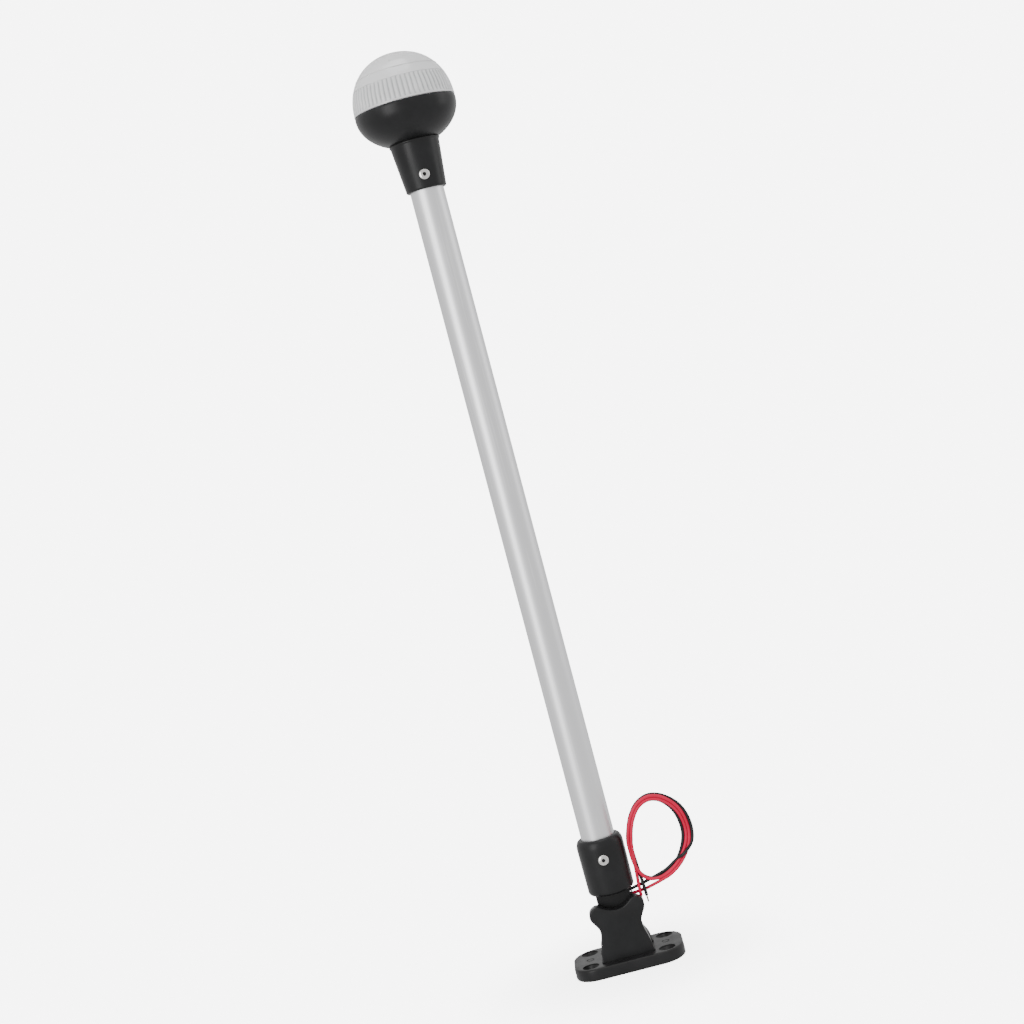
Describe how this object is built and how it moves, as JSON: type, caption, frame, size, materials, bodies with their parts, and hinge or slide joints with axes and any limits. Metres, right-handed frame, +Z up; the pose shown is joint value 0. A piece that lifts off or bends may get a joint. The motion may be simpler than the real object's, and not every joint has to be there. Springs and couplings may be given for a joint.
{
  "type": "navigation light",
  "caption": "All-round navigation light on a pole that folds down on a deck base, with a fluted globe and loose wire leads.",
  "frame": {"origin": "middle of the base's underside", "axes": "+Z up along the pole, +X towards the side where the wires leave, -Y the front with the rivets"},
  "size_m": [0.0986, 0.0664, 0.6096],
  "materials": {
    "base_plastic": "moulded, soft sheen",
    "tang_plastic": "moulded, darker",
    "collar_plastic": "moulded, soft sheen",
    "housing_plastic": "moulded, soft sheen",
    "tube_metal": "satin anodised",
    "pin_steel": "plain stainless",
    "rivet_metal": "bright",
    "washer_plastic": "natural nylon",
    "lens": "frosted clear plastic, fluted band",
    "seal_rubber": "matte",
    "board": "white solder mask",
    "tower": "white",
    "led": "emitter",
    "red_sheath": "soft vinyl",
    "black_sheath": "soft vinyl",
    "bare_core": "tinned strands"
  },
  "bodies": {
    "base": {"base_bracket": "base_plastic", "hinge_pin": "pin_steel", "front_washer": "washer_plastic", "rear_washer": "washer_plastic"},
    "swivel": {"eye_bolt": "pin_steel", "spring_washer": "pin_steel", "lock_nut": "pin_steel", "lift_spring": "pin_steel"},
    "pole": {"tang": "tang_plastic", "lower_collar": "collar_plastic", "lower_rivet": "rivet_metal", "pole_tube": "tube_metal", "head_housing": "housing_plastic", "upper_rivet": "rivet_metal", "lens_seal": "seal_rubber", "globe_lens": "lens", "led_board": "board", "led_tower": "tower", "reflector_cap": "tower", "lead_grommet": "seal_rubber", "exit_grommet": "seal_rubber", "red_lead": "red_sheath", "black_lead": "black_sheath", "led_1": "led", "led_2": "led", "led_3": "led", "led_4": "led", "led_5": "led", "led_6": "led", "board_screw_1": "pin_steel", "board_screw_2": "pin_steel", "board_screw_3": "pin_steel", "red_wire_out": "red_sheath", "black_wire_out": "black_sheath", "wire_loop": "red_sheath", "red_wire_tail": "red_sheath", "black_wire_tail": "black_sheath", "red_wire_end": "bare_core", "black_wire_end": "bare_core"}
  },
  "joints": [
    {"name": "pole_fold", "type": "hinge", "parent": "base", "child": "swivel", "pos_m": [0, 0, 0.0245], "axis": [0, -1, 0], "range_deg": [0, 88]},
    {"name": "pole_lift", "type": "slide", "parent": "swivel", "child": "pole", "axis": [0, 0, 1], "range_m": [0, 0.005], "stiffness_N_per_m": 900, "springref_m": -0.008, "deforming": ["lift_spring"]}
  ]
}
